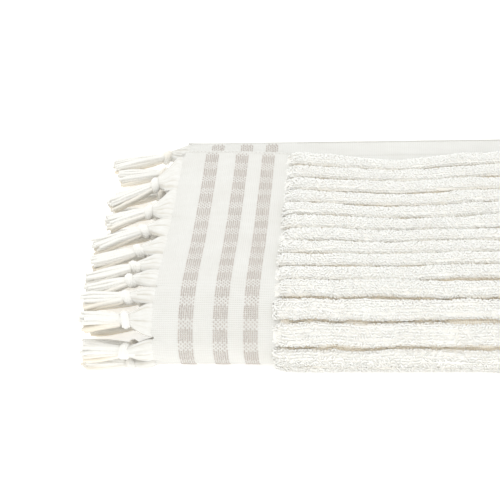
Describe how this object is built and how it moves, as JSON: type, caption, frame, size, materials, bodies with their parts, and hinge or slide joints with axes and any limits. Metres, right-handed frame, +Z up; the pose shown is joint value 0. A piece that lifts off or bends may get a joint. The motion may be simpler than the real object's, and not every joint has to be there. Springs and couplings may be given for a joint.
{
  "type": "bath mat",
  "caption": "Rectangular ribbed terry bath mat with flat woven striped end bands and knotted tassel fringe, lying folded in half lengthwise with the ribs outside.",
  "frame": {"origin": "middle of the underside of the folded mat, on the floor", "axes": "+X along the mat and its ribs towards the right fringe, +Y from the rolled fold to the open long edges, +Z up"},
  "size_m": [0.9876, 0.278, 0.0633],
  "materials": {
    "ground_cotton": "matte flat weave",
    "pile_cotton": "looped terry pile",
    "taupe_cotton": "matte woven floats",
    "fringe_cotton": "twisted yarn"
  },
  "bodies": {
    "lower_leaf": {"lower_ground_cloth": "ground_cotton", "lower_end_bands": "ground_cotton", "lower_stripes": "taupe_cotton", "lower_selvedge": "ground_cotton", "lower_rib_01": "pile_cotton", "lower_rib_02": "pile_cotton", "lower_rib_03": "pile_cotton", "lower_rib_04": "pile_cotton", "lower_rib_05": "pile_cotton", "lower_rib_06": "pile_cotton", "lower_rib_07": "pile_cotton", "lower_rib_08": "pile_cotton", "lower_rib_09": "pile_cotton", "lower_rib_10": "pile_cotton", "lower_rib_11": "pile_cotton", "lower_rib_12": "pile_cotton", "lower_rib_13": "pile_cotton", "lower_rib_14": "pile_cotton", "lower_left_tassels": "fringe_cotton", "lower_right_tassels": "fringe_cotton"},
    "fold_1": {"fold_1_cloth": "ground_cotton", "fold_1_stripes": "taupe_cotton", "fold_1_rib": "pile_cotton", "fold_1_tassels": "fringe_cotton"},
    "fold_2": {"fold_2_cloth": "ground_cotton", "fold_2_stripes": "taupe_cotton", "fold_2_rib": "pile_cotton", "fold_2_tassels": "fringe_cotton"},
    "fold_3": {"fold_3_cloth": "ground_cotton", "fold_3_stripes": "taupe_cotton", "fold_3_rib": "pile_cotton"},
    "fold_4": {"fold_4_cloth": "ground_cotton", "fold_4_stripes": "taupe_cotton", "fold_4_rib": "pile_cotton", "fold_4_tassels": "fringe_cotton"},
    "fold_5": {"fold_5_cloth": "ground_cotton", "fold_5_stripes": "taupe_cotton", "fold_5_rib": "pile_cotton", "fold_5_tassels": "fringe_cotton"},
    "upper_leaf": {"upper_ground_cloth": "ground_cotton", "upper_end_bands": "ground_cotton", "upper_stripes": "taupe_cotton", "upper_selvedge": "ground_cotton", "upper_rib_01": "pile_cotton", "upper_rib_02": "pile_cotton", "upper_rib_03": "pile_cotton", "upper_rib_04": "pile_cotton", "upper_rib_05": "pile_cotton", "upper_rib_06": "pile_cotton", "upper_rib_07": "pile_cotton", "upper_rib_08": "pile_cotton", "upper_rib_09": "pile_cotton", "upper_rib_10": "pile_cotton"},
    "upper_left_fringe": {"upper_left_tassels": "fringe_cotton"},
    "upper_right_fringe": {"upper_right_tassels": "fringe_cotton"}
  },
  "joints": [
    {"name": "fold_line_1", "type": "hinge", "parent": "lower_leaf", "child": "fold_1", "pos_m": [0, -0.11857, 0.0076], "axis": [1, 0, 0], "range_deg": [0, 46]},
    {"name": "fold_line_2", "type": "hinge", "parent": "fold_1", "child": "fold_2", "pos_m": [0, -0.13121, 0.02069], "axis": [1, 0, 0], "range_deg": [0, 44]},
    {"name": "fold_line_3", "type": "hinge", "parent": "fold_2", "child": "fold_3", "pos_m": [0, -0.13121, 0.03889], "axis": [1, 0, 0], "range_deg": [0, 48]},
    {"name": "fold_line_4", "type": "hinge", "parent": "fold_3", "child": "fold_4", "pos_m": [0, -0.11769, 0.05107], "axis": [1, 0, 0], "range_deg": [0, 27]},
    {"name": "fold_line_5", "type": "hinge", "parent": "fold_4", "child": "fold_5", "pos_m": [0, -0.10011, 0.05578], "axis": [1, 0, 0], "range_deg": [0, 16]},
    {"name": "fold_line_6", "type": "hinge", "parent": "fold_5", "child": "upper_leaf", "pos_m": [0, -0.08191, 0.05546], "axis": [1, 0, 0], "range_deg": [0, 8]},
    {"name": "upper_left_fringe_lift", "type": "hinge", "parent": "upper_leaf", "child": "upper_left_fringe", "pos_m": [-0.432, 0.00812, 0.04222], "axis": [0, -0.9877, 0.1564], "range_deg": [-60, 0]},
    {"name": "upper_right_fringe_lift", "type": "hinge", "parent": "upper_leaf", "child": "upper_right_fringe", "pos_m": [0.432, 0.00812, 0.04222], "axis": [0, 0.9877, -0.1564], "range_deg": [-60, 0]}
  ],
  "couplings": [
    {"joint": "fold_line_1", "follows": "fold_line_6", "ratio": 5.75},
    {"joint": "fold_line_2", "follows": "fold_line_6", "ratio": 5.5},
    {"joint": "fold_line_3", "follows": "fold_line_6", "ratio": 6},
    {"joint": "fold_line_4", "follows": "fold_line_6", "ratio": 3.375},
    {"joint": "fold_line_5", "follows": "fold_line_6", "ratio": 2}
  ]
}
